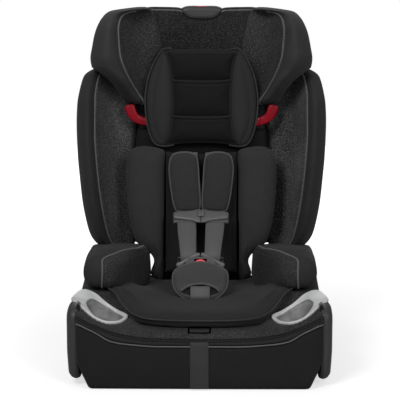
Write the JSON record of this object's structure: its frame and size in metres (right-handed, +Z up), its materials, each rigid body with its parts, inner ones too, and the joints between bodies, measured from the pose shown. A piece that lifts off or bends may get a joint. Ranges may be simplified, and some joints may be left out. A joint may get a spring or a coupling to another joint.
{
  "type": "child car seat",
  "caption": "Forward-facing harness booster car seat: base with armrests and cup trays, leaning backrest with side wings, five-point harness and sliding winged headrest.",
  "frame": {"origin": "middle of the outline on the surface the base stands on", "axes": "+Z up, the child looks along -Y, +X to the right of someone facing the seat"},
  "size_m": [0.46, 0.4434, 0.6211],
  "materials": {
    "shell_plastic": "moulded, fine grain",
    "rim_gloss": "glossy black",
    "tray_plastic": "satin light grey",
    "liner_rubber": "soft matt",
    "foot_rubber": "matt",
    "steel": "zinc plated",
    "mesh_fabric": "knitted spacer mesh",
    "charcoal_fabric": "smooth woven, grey piping",
    "insert_fabric": "soft brushed knit",
    "webbing": "ribbed polyester",
    "buckle_plastic": "satin",
    "clip_plastic": "satin grey",
    "handle_plastic": "satin",
    "slider_plastic": "acetal",
    "red_plastic": "satin red"
  },
  "bodies": {
    "base": {"base_shell": "shell_plastic", "rubber_feet": "foot_rubber", "recline_axle": "steel", "side_panel_left": "rim_gloss", "side_panel_right": "rim_gloss", "panel_screws": "steel", "cup_tray_left": "tray_plastic", "cup_tray_right": "tray_plastic", "tray_liner_left": "liner_rubber", "tray_liner_right": "liner_rubber", "seat_cover": "mesh_fabric", "front_skirt": "charcoal_fabric", "seat_insert_pad": "insert_fabric", "armrest_frame_left": "shell_plastic", "armrest_frame_right": "shell_plastic", "armrest_pad_left": "charcoal_fabric", "armrest_pad_right": "charcoal_fabric", "crotch_strap": "webbing", "crotch_anchor_plate": "steel", "buckle_front_cover": "buckle_plastic", "buckle_rear_cover": "buckle_plastic", "buckle_latch_plate": "steel", "tongue_left": "clip_plastic", "tongue_right": "clip_plastic", "crotch_pad": "insert_fabric", "lap_strap_left": "webbing", "lap_strap_right": "webbing", "hip_anchor_bar": "steel", "adjuster_housing": "shell_plastic", "adjuster_pin": "steel", "adjuster_strap": "webbing"},
    "backrest": {"back_shell": "shell_plastic", "torso_wing_left": "charcoal_fabric", "torso_wing_right": "charcoal_fabric", "back_pad": "mesh_fabric", "body_insert": "insert_fabric", "guide_rods": "steel", "rod_clamps": "shell_plastic", "headrest_rack": "shell_plastic", "shoulder_strap_left": "webbing", "shoulder_strap_right": "webbing", "shoulder_pad_left": "insert_fabric", "shoulder_pad_right": "insert_fabric", "splitter_plate": "steel", "harness_rear_strap": "webbing"},
    "headrest": {"headrest_shell": "shell_plastic", "headrest_sliders": "slider_plastic", "head_wing_left": "charcoal_fabric", "head_wing_right": "charcoal_fabric", "headrest_centre_pad": "mesh_fabric", "head_pillow": "insert_fabric", "belt_guide_left": "red_plastic", "belt_guide_right": "red_plastic"},
    "handle": {"headrest_handle": "handle_plastic"},
    "buckle_push": {"buckle_button": "red_plastic"},
    "adjuster": {"adjuster_lever": "shell_plastic"},
    "chest_clip": {"chest_clip_left": "clip_plastic", "chest_clip_right": "clip_plastic"},
    "clip_release": {"chest_clip_tab": "clip_plastic"}
  },
  "joints": [
    {"name": "recline", "type": "hinge", "parent": "base", "child": "backrest", "pos_m": [0, 0.13, 0.06], "axis": [-1, 0, 0], "range_deg": [0, 12]},
    {"name": "headrest_height", "type": "slide", "parent": "backrest", "child": "headrest", "axis": [0, 0.1564, 0.9877], "range_m": [0, 0.14]},
    {"name": "handle_pull", "type": "slide", "parent": "headrest", "child": "handle", "axis": [0, 0.1564, 0.9877], "range_m": [0, 0.008], "stiffness_N_per_m": 400, "springref_m": -0.004},
    {"name": "buckle_press", "type": "slide", "parent": "base", "child": "buckle_push", "axis": [0, 0.9272, -0.3746], "range_m": [0, 0.004], "stiffness_N_per_m": 800, "springref_m": -0.002},
    {"name": "adjuster_press", "type": "hinge", "parent": "base", "child": "adjuster", "pos_m": [0, -0.186, 0.088], "axis": [1, 0, 0], "range_deg": [0, 10], "stiffness_Nm_per_rad": 0.4, "springref_deg": -14.32},
    {"name": "clip_height", "type": "slide", "parent": "backrest", "child": "chest_clip", "axis": [0, -0.866, -0.5], "range_m": [0, 0.025]},
    {"name": "clip_press", "type": "slide", "parent": "chest_clip", "child": "clip_release", "axis": [0, 0.5, -0.866], "range_m": [0, 0.002], "stiffness_N_per_m": 500, "springref_m": -0.002}
  ]
}
